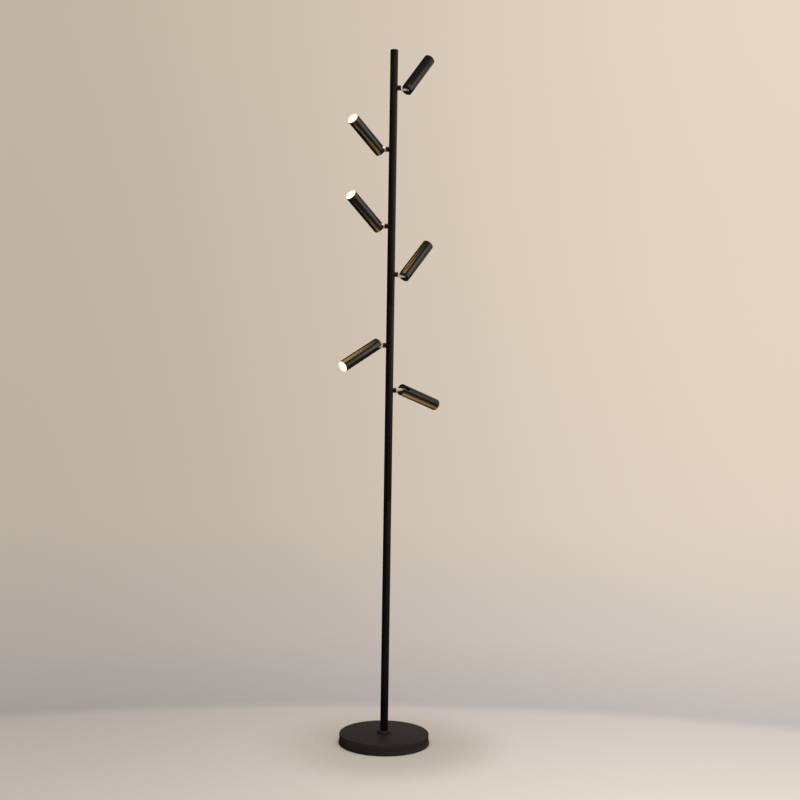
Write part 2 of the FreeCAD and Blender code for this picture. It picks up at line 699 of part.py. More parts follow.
def make_heat_sink(number):
    """Finned slug between the fork and the LED board, bored for the leads."""
    name = f"heat_sink_{number}"
    body = turned(name, tube_outline("sink_bore/2", INSERT_RADIUS, FORK_FRONT, BOARD_BACK))
    slot = shaped(body, "SubtractiveBox", f"fin_slot_{number}",
                  {"Length": "tube_dia", "Width": "fin_slot",
                   "Height": f"{BOARD_BACK} - {FORK_FRONT} - 2*sink_flange"},
                  ("sink_core_dia/2", "-fin_slot/2", f"{FORK_FRONT} + sink_flange"))
    pattern = body.newObject("PartDesign::PolarPattern", f"fins_{number}")
    pattern.Originals = [slot]
    axis = next(item for item in body.Origin.OriginFeatures if item.Role == "Z_Axis")
    pattern.Axis = (axis, [""])
    pattern.Angle = 360.0
    bind(pattern, "Occurrences", "fin_count")
    body.Tip = pattern
    place_in_head(body, number)


def make_led_board(number):
    """Round board with its raised chip."""
    body = turned(f"led_board_{number}", (
        ("0", BOARD_BACK),
        (INSERT_RADIUS, BOARD_BACK),
        (INSERT_RADIUS, BOARD_FRONT),
        ("chip_dia/2", BOARD_FRONT),
        ("chip_dia/2", f"{BOARD_FRONT} + chip_height"),
        ("0", f"{BOARD_FRONT} + chip_height"),
    ))
    place_in_head(body, number)


def make_lens(number):
    """Cone-shaped lens: a foot ring round the chip, a widening body and a domed front."""
    foot_bore = "(chip_dia/2 + chip_gap)"
    foot_top = f"({BOARD_FRONT} + chip_height + chip_cover_gap)"
    rim_low = f"({LENS_FRONT} - lens_rim)"
    front = f"({LENS_FRONT} - slip_gap)"
    body = turned(f"lens_{number}", (
        ("0", foot_top),
        (foot_bore, foot_top),
        (foot_bore, BOARD_FRONT),
        (f"{foot_bore} + lens_foot_wall", BOARD_FRONT),
        (f"{INSERT_RADIUS} - lens_foot_wall", rim_low),
        (INSERT_RADIUS, rim_low),
        (INSERT_RADIUS, front),
        (f"{TUBE_BORE} - lip_width - slip_gap", front),
        ("0", f"{front} + lens_dome"),
    ))
    place_in_head(body, number)


# ---------------------------------------------------------------- the whole lamp

make_base_cover()
make_base_weight()
make_base_sole()
make_base_stud()
make_base_washer()
make_base_nut()
make_led_driver()
make_cord_gland()
make_pole_tube("pole_lower_tube", "base_height", LOWER_SEAM, ())
make_pole_tube("pole_middle_tube", LOWER_SEAM, UPPER_SEAM, heads_on("middle"))
make_pole_tube("pole_upper_tube", UPPER_SEAM, POLE_TOP, heads_on("upper"))
make_pole_couplers()
make_foot_plug()
make_pole_collar()
make_pole_cap()
make_wire_loom()
make_pole_bosses()
for head in range(1, len(HEADS) + 1):
    make_knuckle(head)
    make_pivot_pin(head)
    make_fork(head)
    make_lamp_tube(head)
    make_heat_sink(head)
    make_led_board(head)
    make_lens(head)

doc.recompute()
for item in doc.Objects:
    if "Invalid" in item.State or "Error" in item.State:
        raise RuntimeError(f"{item.Label} did not build: {item.State}")
for node in nodes:
    if node.Shape.isNull() or not node.Shape.isValid() or node.Shape.Volume <= 0:
        raise RuntimeError(f"{node.Label} has no valid shape")

os.makedirs("parts", exist_ok=True)
for node in nodes:
    node.Shape.exportStep(os.path.join("parts", node.Label + ".step"))
    print(f"{node.Label}: {len(node.Shape.Solids)} solid(s), {node.Shape.Volume:.0f} mm3")
print(f"{len(nodes)} nodes")
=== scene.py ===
# %% [markdown]
# # A tree floor lamp
#
# The lamp is a round weighted base, a slim black pole and six small spot heads that branch
# off it on satin chrome knuckles. Its solids, joints and sizes are already fixed in a packed
# model. This script loads that model, lays finely shaded surfaces over the pieces that show,
# and gives every piece the finish that the real one has.
#
# Everything is in metres, in one frame: +Z up along the pole, +X to the right and +Y away
# from the viewer. A finished piece sits at the origin, with its place in its mesh.

import json
import math
from collections import namedtuple

import bmesh
import bpy
import numpy as np
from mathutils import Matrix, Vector


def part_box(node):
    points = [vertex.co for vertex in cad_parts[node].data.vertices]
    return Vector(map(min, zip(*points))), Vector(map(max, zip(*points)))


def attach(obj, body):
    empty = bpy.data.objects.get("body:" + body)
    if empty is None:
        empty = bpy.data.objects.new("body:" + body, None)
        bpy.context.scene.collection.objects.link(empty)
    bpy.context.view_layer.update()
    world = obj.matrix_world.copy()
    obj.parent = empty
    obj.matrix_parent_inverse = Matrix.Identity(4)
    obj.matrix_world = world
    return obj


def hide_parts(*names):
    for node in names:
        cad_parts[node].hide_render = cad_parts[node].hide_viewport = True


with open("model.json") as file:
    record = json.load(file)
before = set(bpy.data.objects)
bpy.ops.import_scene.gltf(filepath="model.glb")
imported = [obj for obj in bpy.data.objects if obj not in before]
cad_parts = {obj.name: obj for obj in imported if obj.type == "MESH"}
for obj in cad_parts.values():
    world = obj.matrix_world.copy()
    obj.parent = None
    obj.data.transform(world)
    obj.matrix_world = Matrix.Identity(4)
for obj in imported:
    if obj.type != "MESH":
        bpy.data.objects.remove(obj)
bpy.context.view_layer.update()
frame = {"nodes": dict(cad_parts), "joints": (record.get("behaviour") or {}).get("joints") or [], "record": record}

MM = 0.001

# %% [markdown]
# ## Colour and nodes
#
# A colour is easiest to judge as the hex value that a screen shows, but a renderer counts
# light, which is linear. One function turns the one into the other, so that every colour in
# this file can be read and compared as hex.
#
# A material is a small network of nodes. One function adds a node of any kind, sets its
# options and fills its inputs, either with a value or with a link from another node. Two more
# helpers build what nearly every finish needs: a noise with features of a real size, and a
# surface whose colour, gloss and relief follow such noises.

# %% Helpers for colours and nodes
def linear(hex_colour):
    """sRGB hex to linear RGB and alpha: c / 12.92 in the darks, ((c + 0.055) / 1.055)^2.4 above."""
    code = hex_colour.lstrip("#")
    srgb = np.array([int(code[i:i + 2], 16) for i in (0, 2, 4)]) / 255
    rgb = np.where(srgb <= 0.04045, srgb / 12.92, ((srgb + 0.055) / 1.055) ** 2.4)
    return (*rgb.tolist(), 1.0)


def add(tree, kind, inputs=None, **settings):
    """Adds a node with its settings, and sets or links each of its inputs.

    An input is given by its label or, where labels repeat, by its number.
    """
    node = tree.nodes.new(kind)
    for key, value in settings.items():
        setattr(node, key, value)
    for key, value in (inputs or {}).items():
        if isinstance(value, bpy.types.NodeSocket):
            tree.links.new(value, node.inputs[key])
        else:
            node.inputs[key].default_value = value
    return node


def start_material(name):
    """An empty material, and the tree to build it in."""
    material = bpy.data.materials.new(name)
    material.use_nodes = True
    material.node_tree.nodes.clear()
    return material, material.node_tree


def pattern(tree, coordinates, size_mm, stretch=(1.0, 1.0, 1.0), detail=3.0):
    """Noise with features of a real size, drawn out along an axis where stretch is over 1.

    A scale of 1 gives one feature a metre, so the scale is 1 over the size in metres.
    """
    mapping = add(tree, "ShaderNodeMapping", {
        "Vector": coordinates,
        "Scale": tuple(1.0 / (size_mm * MM) / times for times in stretch)})
    noise = add(tree, "ShaderNodeTexNoise", {
        "Vector": mapping.outputs["Vector"], "Scale": 1.0, "Detail": detail})
    return noise.outputs["Fac"]


def grained_surface(tree, tint_by, gloss_by, relief_by, tints, roughness, depth_mm, more):
    """Shader whose colour, gloss and relief each follow a noise, with more inputs beside them.

    A noise seldom leaves its middle half, so that half is spread over the two hex tints and
    over the range of roughness. The relief has a real depth.
    """
    middle = {"From Min": 0.25, "From Max": 0.75}
    share = add(tree, "ShaderNodeMapRange", {"Value": tint_by, **middle})
    tint = add(tree, "ShaderNodeMix", {
        0: share.outputs["Result"], 6: linear(tints[0]), 7: linear(tints[1])}, data_type="RGBA")
    gloss = add(tree, "ShaderNodeMapRange", {
        "Value": gloss_by, **middle, "To Min": roughness[0], "To Max": roughness[1]})
    bump = add(tree, "ShaderNodeBump", {
        "Height": relief_by, "Strength": 1.0, "Distance": depth_mm * MM})
    return add(tree, "ShaderNodeBsdfPrincipled", {
        "Base Color": tint.outputs[2], "Roughness": gloss.outputs["Result"],
        "Normal": bump.outputs["Normal"], **more})


# %% [markdown]
# ## Finishes
#
# Each finish starts from what the real surface is and how it was made, because that decides
# how wide its highlights are and what breaks them up. Two black paints can have the same
# colour and still look nothing alike: the base is sprayed with powder and baked, which leaves
# a faint orange peel and a wide soft shine, while a head's tube is drawn, anodised aluminium,
# which is smoother and carries fine lines along its length.
#
# Grain sizes are real, in millimetres, or are as coarse as they must be to show at all from
# three metres away, and then the comment says so.

# %% Black finishes
PEEL_MM, STREAK_STRETCH = 2.4, 12.0
finishes = {}


def black_paint(slot, name, dark, light, roughness, peel_depth_mm, streaks_mm):
    """Baked black coat: an orange peel, and gloss that drifts a little along the piece."""
    material, tree = start_material(name)
    place = add(tree, "ShaderNodeTexCoord").outputs["Object"]
    peel = pattern(tree, place, PEEL_MM)
    drift = pattern(tree, place, streaks_mm, stretch=(1.0, 1.0, STREAK_STRETCH))
    shader = grained_surface(tree, drift, drift, peel, (dark, light), roughness,
                             peel_depth_mm, {"IOR": 1.5})
    add(tree, "ShaderNodeOutputMaterial", {"Surface": shader.outputs[0]})
    finishes[slot] = material


# Polyester powder coat on pressed steel: powder sprayed on and baked. It gives a deep matte
# black with a wide, soft shine. Its orange peel is about 1 mm across and is drawn at 2.4 mm,
# so that it shows.
black_paint("powder_coat", "black_powder_coat_on_steel", "#232323", "#292928", (0.42, 0.5),
            peel_depth_mm=0.03, streaks_mm=30.0)

# Satin powder coat on the drawn steel tube of the pole: a thinner, smoother coat. Gloss drifts
# along the pole in long streaks, where the tube's drawing lines lie under the paint.
black_paint("satin_coat", "black_satin_coat_on_drawn_steel", "#0B0A0A", "#100F0E", (0.28, 0.36),
            peel_depth_mm=0.012, streaks_mm=9.0)

# Drawn aluminium, etched, anodised and dyed black: smoother than paint and with the high index
# of its oxide skin, so that it mirrors the room as long streaks. The drawing lines are a few
# hundredths of a millimetre wide and are drawn at 3 mm, so that they show.
LINE_MM, LINE_STRETCH, LINE_DEPTH_MM, CLOUD_MM = 3.0, 60.0, 0.0015, 18.0
# Painted glow: the tube itself gives off warm light on its front lip and, weaker, a few millimetres back along the
# outside. It stands in for the glare round the lit lens.
LIP_LENGTH, LIP_SOFTNESS, PAINTED_GLOW_LENGTH = 2.7 * MM, 0.3, 3.0 * MM
PAINTED_LIP_GLOW, PAINTED_OUTSIDE_GLOW = 1.6, 0.35


def anodised_black():
    """Black anodised aluminium with drawing lines, and a painted glow on its front lip.

    Both follow the tube's unrolled map, whose second coordinate starts at the lens and runs
    over the lip and back along the outside, in metres.
    """
    material, tree = start_material("black_anodised_aluminium_tube_with_painted_lip_glow")
    unrolled = add(tree, "ShaderNodeUVMap", uv_map="unrolled").outputs["UV"]
    from_lens = add(tree, "ShaderNodeSeparateXYZ", {"Vector": unrolled}).outputs["Y"]
    lines = pattern(tree, unrolled, LINE_MM, stretch=(1.0, LINE_STRETCH, 1.0), detail=1.0)
    cloud = pattern(tree, unrolled, CLOUD_MM)
    # Painted glow: emission on the black tube, strongest on the lip, pale amber there and deeper orange where it
    # fades out behind it.
    level = add(tree, "ShaderNodeMapRange", {
        "Value": from_lens, "From Min": LIP_LENGTH * (1 - LIP_SOFTNESS),
        "From Max": LIP_LENGTH * (1 + LIP_SOFTNESS),
        "To Min": PAINTED_LIP_GLOW, "To Max": PAINTED_OUTSIDE_GLOW}, interpolation_type="SMOOTHSTEP")
    painted_glow_fade = add(tree, "ShaderNodeMapRange", {
        "Value": from_lens, "From Min": LIP_LENGTH, "From Max": LIP_LENGTH + PAINTED_GLOW_LENGTH,
        "To Min": 1.0, "To Max": 0.0}, interpolation_type="SMOOTHERSTEP").outputs["Result"]
    painted_glow = add(tree, "ShaderNodeMath", {0: level.outputs["Result"], 1: painted_glow_fade},
               operation="MULTIPLY")
    colour = add(tree, "ShaderNodeMix", {0: painted_glow_fade, 6: linear("#FF8A2A"), 7: linear("#FFCF7E")},
                 data_type="RGBA")
    shader = grained_surface(
        tree, cloud, lines, lines, ("#0B0A0A", "#100F0E"), (0.22, 0.27), LINE_DEPTH_MM,
        {"IOR": 1.9, "Emission Color": colour.outputs[2], "Emission Strength": painted_glow.outputs[0]})
    add(tree, "ShaderNodeOutputMaterial", {"Surface": shader.outputs[0]})
    return material


finishes["anodised_black"] = anodised_black()

# %% [markdown]
# ## Metals, castings, rubber and plastics
#
# Each of the other finishes has one grain, and a noise of that grain's size gives it: it shifts
# the colour and the gloss a little and lifts the surface by the grain's depth. Most of these
# finishes are hidden inside the lamp, but they show when it is taken apart.


# %% Metals and plastics
def plain_finish(slot, name, dark, light, roughness, grain_mm, grain_depth_mm,
                 stretch=(1.0, 1.0, 1.0), metallic=0.0, ior=None):
    """Finish with a grain of one size in its colour, gloss and relief. A metal keeps its IOR."""
    material, tree = start_material(name)
    place = add(tree, "ShaderNodeTexCoord").outputs["Object"]
    grain = pattern(tree, place, grain_mm, stretch)
    more = {"Metallic": metallic} if ior is None else {"Metallic": metallic, "IOR": ior}
    shader = grained_surface(tree, grain, grain, grain, (dark, light), roughness,
                             grain_depth_mm, more)
    add(tree, "ShaderNodeOutputMaterial", {"Surface": shader.outputs[0]})
    finishes[slot] = material


# Zinc casting with a satin black coat: the hidden skeleton of each head, a little rough where
# it wasn't turned.
plain_finish("cast_black", "black_coated_casting", "#171616", "#1E1D1C", (0.42, 0.56),
             grain_mm=2.0, grain_depth_mm=0.03, ior=1.5)

# Zinc casting, blasted fine, nickel and chrome plated: a bright metal whose satin skin spreads
# the room into an even pale grey, with a faint cloud of a few millimetres from the blasting.
# It is set far less metallic than bare chrome, to match that even grey.
plain_finish("chrome_plate", "satin_chrome_plate", "#D6D6D8", "#E4E3E2", (0.42, 0.52),
             grain_mm=3.0, grain_depth_mm=0.01, metallic=0.35)

# Grey iron cast in sand: rough skin with grains of about a millimetre, which scatters light.
plain_finish("cast_iron", "sand_cast_iron", "#2C2B2A", "#403D3A", (0.62, 0.82),
             grain_mm=1.6, grain_depth_mm=0.12, metallic=0.6)

# Die-cut rubber sheet: dull and slightly dusty, with a fine imprint from its press.
plain_finish("sole_rubber", "pressed_rubber_sheet", "#191919", "#262524", (0.78, 0.92),
             grain_mm=1.2, grain_depth_mm=0.06, ior=1.5)

# Steel, turned and zinc plated: bright with a cool, faintly cloudy sheen.
plain_finish("plated_steel", "zinc_plated_steel", "#A9ABAC", "#C4C4C0", (0.26, 0.42),
             grain_mm=4.0, grain_depth_mm=0.008, metallic=1.0)

# Moulded ABS with a spark-eroded grain: off-white and matte.
plain_finish("driver_case", "moulded_white_abs", "#DAD7CF", "#E4E1DA", (0.45, 0.6),
             grain_mm=0.8, grain_depth_mm=0.03, ior=1.53)

# Moulded rubber: smoother than the sole, so that its edge catches a thin line of light.
plain_finish("gland_rubber", "moulded_black_rubber", "#171717", "#201F1F", (0.5, 0.66),
             grain_mm=1.5, grain_depth_mm=0.02, ior=1.5)

# Extruded PVC sleeve round the leads: glossy, slightly wavy over the leads inside.
plain_finish("lead_sleeve", "extruded_pvc_sleeve", "#1A1A1B", "#242425", (0.25, 0.38),
             grain_mm=5.0, grain_depth_mm=0.1, stretch=(1.0, 1.0, 8.0), ior=1.53)

# Aluminium as turned: tool marks of a few hundredths of a millimetre widen each highlight.
# They are drawn as grains of 0.8 mm, so that they show.
plain_finish("bare_aluminium", "turned_aluminium", "#B6B7B8", "#CBCBCA", (0.3, 0.44),
             grain_mm=0.8, grain_depth_mm=0.01, metallic=1.0)

# Glass-fibre board under white solder mask: smooth, faintly glossy, with the weave just felt.
plain_finish("led_board", "white_solder_mask", "#E6E4DE", "#EFEDE8", (0.3, 0.42),
             grain_mm=1.0, grain_depth_mm=0.01, ior=1.5)


# %% [markdown]
# ## The lit lens
#
# Behind each front lip is a moulded acrylic lens, lit from behind by one chip. Seen from the
# front it is so much brighter than the room that its middle is plain white, and only the rim,
# where the light thins out, shows its warm colour. So it shines by itself, with a strength
# and a colour that change from the middle to the rim along the lens's own map, whose second
# coordinate is the distance from the middle of the front, in metres.

# %% Lit acrylic
LENS_BRIGHT_RADIUS, LENS_RIM_RADIUS = 9.5 * MM, 12.5 * MM
LENS_BRIGHTNESS, RIM_BRIGHTNESS = 5.0, 2.0


def lit_acrylic():
    """Clear acrylic that glows: white in the middle, amber and weaker towards the rim."""
    material, tree = start_material("moulded_acrylic_lens_lit")
    unrolled = add(tree, "ShaderNodeUVMap", uv_map="unrolled").outputs["UV"]
    distance = add(tree, "ShaderNodeSeparateXYZ", {"Vector": unrolled}).outputs["Y"]
    rim = add(tree, "ShaderNodeMapRange", {
        "Value": distance, "From Min": LENS_BRIGHT_RADIUS, "From Max": LENS_RIM_RADIUS},
        interpolation_type="SMOOTHSTEP").outputs["Result"]
    colour = add(tree, "ShaderNodeMix", {0: rim, 6: linear("#FFF1DC"), 7: linear("#FFCF86")},
                 data_type="RGBA")
    strength = add(tree, "ShaderNodeMapRange", {
        "Value": rim, "To Min": LENS_BRIGHTNESS, "To Max": RIM_BRIGHTNESS})
    shader = add(tree, "ShaderNodeBsdfPrincipled", {
        "Base Color": linear("#F4F0E6"), "Roughness": 0.12, "IOR": 1.49,
        "Emission Color": colour.outputs[2], "Emission Strength": strength.outputs["Result"]})
    add(tree, "ShaderNodeOutputMaterial", {"Surface": shader.outputs[0]})
    return material


finishes["lit_lens"] = lit_acrylic()
print("finishes:", ", ".join(sorted(finishes)))

# %% [markdown]
# ## Points and faces
#
# Nearly every piece of this lamp was turned, drawn or pressed round an axis. Such a surface is
# a profile carried round a circle, which is a grid: one row per point of the profile, one
# column per angle. Worked out as whole arrays it is quick, exact and evenly divided, and the
# same grid gives each corner its place on an unrolled map in real metres, so that a finish can
# follow the surface.
#
# A sharp edge looks false, because no real edge is sharp: each one catches a thin line of
# light. So corners of a profile are rounded before it is turned.

# %% Rounding the corners of a profile
ARC_STEPS = 5


def rounded(corners, looped=True):
    """Profile of (across, along, radius) corners with each corner replaced by an arc.

    The arc starts where the radius touches both edges, r / tan(half the corner's angle) from
    the corner. Its points lie on the circle round C = P + (u + v) / |u + v| * r / sin(half),
    where u and v point from the corner P along its two edges, and are spaced by spherical
    interpolation between the arc's two ends. An open profile keeps its first and last corner.
    """
    corners = np.array(corners, float)
    count = len(corners)
    points = []
    for index, (across, along, radius) in enumerate(corners):
        place = np.array((across, along))
        if radius == 0 or (not looped and index in (0, count - 1)):
            points.append(place[None])
            continue
        u = corners[index - 1, :2] - place
        v = corners[(index + 1) % count, :2] - place
        u, v = u / np.linalg.norm(u), v / np.linalg.norm(v)
        half = math.acos(np.clip(u @ v, -1, 1)) / 2
        reach = radius / math.tan(half)
        centre = place + (u + v) / np.linalg.norm(u + v) * radius / math.sin(half)
        start, end = place + u * reach - centre, place + v * reach - centre
        turn = math.pi - 2 * half
        step = np.linspace(0, 1, ARC_STEPS)[:, None]
        arc = (np.sin((1 - step) * turn) * start + np.sin(step * turn) * end) / math.sin(turn)
        points.append(centre + arc)
    return np.concatenate(points)


# %% Grids of points, faces and unrolled corners
def angles(count):
    """Equal angles round a full circle, without the last, which is the first again."""
    return np.linspace(0, 2 * math.pi, count, endpoint=False)


def grid_cells(rows, columns, rows_closed):
    """Row and column of each face. A closed profile has one more row of faces."""
    return np.meshgrid(np.arange(rows if rows_closed else rows - 1), np.arange(columns),
                       indexing="ij")


def grid_faces(rows, columns, rows_closed):
    """Four-cornered faces of a grid whose columns close on themselves.

    Point (i, j) is number i * columns + j. Face (i, j) joins (i, j), (i, j+1), (i+1, j+1) and
    (i+1, j), with j+1 taken round the circle and, on a closed profile, i+1 too.
    """
    i, j = grid_cells(rows, columns, rows_closed)
    below, beside = (i + 1) % rows, (j + 1) % columns
    faces = np.stack((i * columns + j, i * columns + beside,
                      below * columns + beside, below * columns + j), axis=-1)
    return faces.reshape(-1, 4)


def grid_map(points, rows_closed):
    """Unrolled place of each face's corners, in metres: (round the circle, along the profile).

    Round the circle it is the angle times the widest radius. Along the profile it is the sum of
    the steps between its points, measured on the first column.
    """
    rows, columns, _ = points.shape
    reach = np.hypot(points[..., 0], points[..., 1])
    widest = np.unravel_index(reach.argmax(), reach.shape)[0]
    angle = np.unwrap(np.arctan2(points[widest, :, 1], points[widest, :, 0]))
    around = np.append(angle, angle[0] + 2 * math.pi) * reach.max()
    profile = np.concatenate((points[:, 0], points[:1, 0]))
    steps = np.linalg.norm(np.diff(profile, axis=0), axis=1)
    along = np.concatenate(([0.0], np.cumsum(steps)))
    i, j = grid_cells(rows, columns, rows_closed)
    corner_i = np.stack((i, i, i + 1, i + 1), axis=-1)
    corner_j = np.stack((j, j + 1, j + 1, j), axis=-1)
    return np.stack((around[corner_j], along[corner_i]), axis=-1).reshape(-1, 2)


def shell(points, rows_closed=True):
    """A grid of points as (points, faces, map), ready to be joined with others."""
    rows, columns, _ = points.shape
    return (points.reshape(-1, 3), grid_faces(rows, columns, rows_closed),
            grid_map(points, rows_closed))


def turned(profile, columns):
    """Grid of a profile of (radius, height) points carried round the Z axis.

    Point (i, j) is (r_i cos a_j, r_i sin a_j, z_i).
    """
    angle = angles(columns)[None, :]
    radius, height = profile[:, :1], profile[:, 1:]
    return np.stack((radius * np.cos(angle), radius * np.sin(angle),
                     height * np.ones_like(angle)), axis=-1)


# %% From arrays to a piece of the lamp
def placed(one_shell, origin, along_x, along_z):
    """A shell moved from a piece's own axes to the lamp's.

    A point becomes origin + x X + y (Z x X) + z Z, with X and Z the piece's own axes.
    """
    points, faces, unrolled = one_shell
    own = np.stack((along_x, np.cross(along_z, along_x), along_z))
    return points @ own + np.asarray(origin), faces, unrolled


def outward(points, faces, unrolled):
    """The same shell, turned round if its volume is negative.

    A face is a fan of triangles from its first corner a, and the volume is the sum over them
    all of a . (b x c) / 6.
    """
    corners = points[faces]
    fans = np.cross(corners[:, 1:-1], corners[:, 2:])
    volume = (corners[:, :1] * fans).sum()
    if volume < 0:
        size = faces.shape[1]
        return points, faces[:, ::-1], unrolled.reshape(-1, size, 2)[:, ::-1].reshape(-1, 2)
    return points, faces, unrolled


def make_piece(name, shells, body, stands_for, slot, crease=35.0):
    """A mesh object from shells of (points, faces, map), riding on a body of the lamp.

    Points that fall together, as at a pole, are merged, and edges that turn by more than the
    crease, in degrees, stay sharp.
    """
    points, faces, maps, first = [], [], [], 0
    for shell_points, shell_faces, shell_map in (outward(*one) for one in shells):
        points.append(shell_points)
        faces += (shell_faces + first).tolist()
        maps.append(shell_map)
        first += len(shell_points)
    mesh = bpy.data.meshes.new(name)
    mesh.from_pydata(np.concatenate(points).tolist(), [], faces)
    unrolled = mesh.uv_layers.new(name="unrolled")
    unrolled.data.foreach_set("uv", np.concatenate(maps).astype(np.float32).ravel())
    merged = bmesh.new()
    merged.from_mesh(mesh)
    bmesh.ops.remove_doubles(merged, verts=merged.verts, dist=0.001 * MM)
    bmesh.ops.dissolve_degenerate(merged, edges=merged.edges, dist=0.001 * MM)
    merged.to_mesh(mesh)
    merged.free()
    mesh.shade_smooth()
    mesh.set_sharp_from_angle(angle=math.radians(crease))
    mesh.materials.append(finishes[slot])

    piece = bpy.data.objects.new(name, mesh)
    bpy.context.scene.collection.objects.link(piece)
    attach(piece, body)
    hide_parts(stands_for)
    print(f"{name}: {len(mesh.polygons)} faces, {slot}")


# %% [markdown]
# ## The base
#
# The base's cover is one disc of steel, pressed to a shallow tray with a rounded top edge. Its
# side is slightly hollow: a waist just above the middle, and a flare to the floor. It is
# turned from its full section, wall and inside included, so that it also looks right from
# below, where the iron weight and the rubber sole fill it.

# %% Base cover
BASE_COLUMNS = 160
FLARE_RADIUS, WAIST_RADIUS, WAIST_HEIGHT, HOLLOW_RADIUS = 110.0, 108.0, 15.5, 43.0
COVER_LOW, COVER_INSIDE, COVER_TOP, COVER_HOLE = 1.0, 23.0, 25.0, 5.3
COVER_WALL, FLARE_INSIDE, TOP_ROUND = 2.0, 5.0, 3.0
SIDE_LOW, SIDE_HIGH, SIDE_POINTS = 3.0, 20.0, 12


def side_radius(height):
    """Radius of the hollow side at a height: a circle round a point outside the waist.

    r = w + R - sqrt(R^2 - (z - h)^2), no wider than the flare.
    """
    hollow = WAIST_RADIUS + HOLLOW_RADIUS - np.sqrt(HOLLOW_RADIUS**2 - (height - WAIST_HEIGHT)**2)
    return np.minimum(hollow, FLARE_RADIUS)


side = [(side_radius(height), height, 0.0)
        for height in np.linspace(SIDE_LOW, SIDE_HIGH, SIDE_POINTS)]
cover_profile = rounded([
    (COVER_HOLE, COVER_INSIDE, 0.0),
    (WAIST_RADIUS - COVER_WALL, COVER_INSIDE, 0.0),
    (WAIST_RADIUS - COVER_WALL, WAIST_HEIGHT, 0.0),
    (FLARE_RADIUS - COVER_WALL, FLARE_INSIDE, 0.0),
    (FLARE_RADIUS - COVER_WALL, COVER_LOW, 0.3),
    (FLARE_RADIUS, COVER_LOW, 0.5),
    *side,
    (side_radius(COVER_TOP), COVER_TOP, TOP_ROUND),
    (COVER_HOLE, COVER_TOP, 0.0),
])
make_piece("base_cover_pressed", [shell(turned(cover_profile * MM, BASE_COLUMNS))],
           "stand", "base_cover", "powder_coat")

# %% [markdown]
# ## Collar and gland
#
# A rounded ring hides the joint between pole and base, and a moulded gland lines the hole
# through the cover's rear. Both are round, so both are turned. The collar takes its height and
# width from its solid, and the gland is laid on its side, facing the rear.

# %% Collar and gland
POLE_COLUMNS, GLAND_COLUMNS = 64, 40
COLLAR_BORE, COLLAR_ROUND = 9.6, 3.6
collar_low, collar_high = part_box("pole_collar")
collar_profile = rounded([
    (COLLAR_BORE, collar_low.z / MM, 0.0),
    (collar_high.x / MM, collar_low.z / MM, 0.2),
    (collar_high.x / MM, collar_high.z / MM, COLLAR_ROUND),
    (COLLAR_BORE, collar_high.z / MM, 0.3),
])
make_piece("pole_collar_turned", [shell(turned(collar_profile * MM, POLE_COLUMNS))],
           "stand", "pole_collar", "powder_coat")

RIGHT, TO_REAR = (1.0, 0.0, 0.0), (0.0, 1.0, 0.0)
GLAND_HEIGHT, GLAND_BORE, GLAND_NECK, GLAND_HEAD = 11.0, 3.2, 4.8, 6.0
GLAND_INSIDE, GLAND_SEAT, GLAND_FACE = 104.4, 110.15, 111.55
gland_profile = rounded([
    (GLAND_BORE, GLAND_INSIDE, 0.2), (GLAND_NECK, GLAND_INSIDE, 0.2),
    (GLAND_NECK, GLAND_SEAT, 0.0), (GLAND_HEAD, GLAND_SEAT, 0.2),
    (GLAND_HEAD, GLAND_FACE, 0.6), (GLAND_BORE, GLAND_FACE, 0.4),
])
gland = placed(shell(turned(gland_profile * MM, GLAND_COLUMNS)), (0, 0, GLAND_HEIGHT * MM),
               RIGHT, TO_REAR)
make_piece("cord_gland_moulded", [gland], "stand", "cord_gland", "gland_rubber")

# %% [markdown]
# ## The pole
#
# Lamps like this are packed flat, so the pole comes as three tubes that screw together. Each
# tube's ends have a tiny bevel, and where two meet the bevels leave a hairline round the pole.
# Each surface takes its height and width from its solid.

# %% Pole tubes and cap
POLE_BORE, TUBE_END_BEVEL = 8.3, 0.25
for name in ("pole_lower_tube", "pole_middle_tube", "pole_upper_tube"):
    low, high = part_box(name)
    radius = high.x / MM
    profile = rounded([
        (POLE_BORE, low.z / MM, 0.0), (radius, low.z / MM, TUBE_END_BEVEL),
        (radius, high.z / MM, TUBE_END_BEVEL), (POLE_BORE, high.z / MM, 0.0),
    ])
    make_piece(name + "_drawn", [shell(turned(profile * MM, POLE_COLUMNS))],
               "stand", name, "satin_coat")

low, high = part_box("pole_cap")
CAP_PLUG_RADIUS, CAP_SHOWN, CAP_ROUND = 8.2, 3.0, 0.9
cap_profile = rounded([
    (0.0, low.z / MM, 0.0), (CAP_PLUG_RADIUS, low.z / MM, 0.2),
    (CAP_PLUG_RADIUS, high.z / MM - CAP_SHOWN, 0.0),
    (high.x / MM, high.z / MM - CAP_SHOWN, 0.2),
    (high.x / MM, high.z / MM, CAP_ROUND), (0.0, high.z / MM, 0.0),
], looped=False)
make_piece("pole_cap_turned", [shell(turned(cap_profile * MM, POLE_COLUMNS), rows_closed=False)],
           "stand", "pole_cap", "satin_coat")

# %% [markdown]
# ## Where each head sits
#
# The joints say where each head is: its boss points along the swivel's axis, and its pivot pin
# lies on the tilt's axis. A head can tilt as far one way as the other from straight out, so
# the middle of the tilt's range is straight out, and the head's aim at rest is that middle
# turned back.

# %% Axes of the heads
HEAD_NUMBERS = range(1, 7)
Head = namedtuple("Head", "number height pivot out pin aim")
joints = {joint["name"]: joint for joint in frame["joints"]}


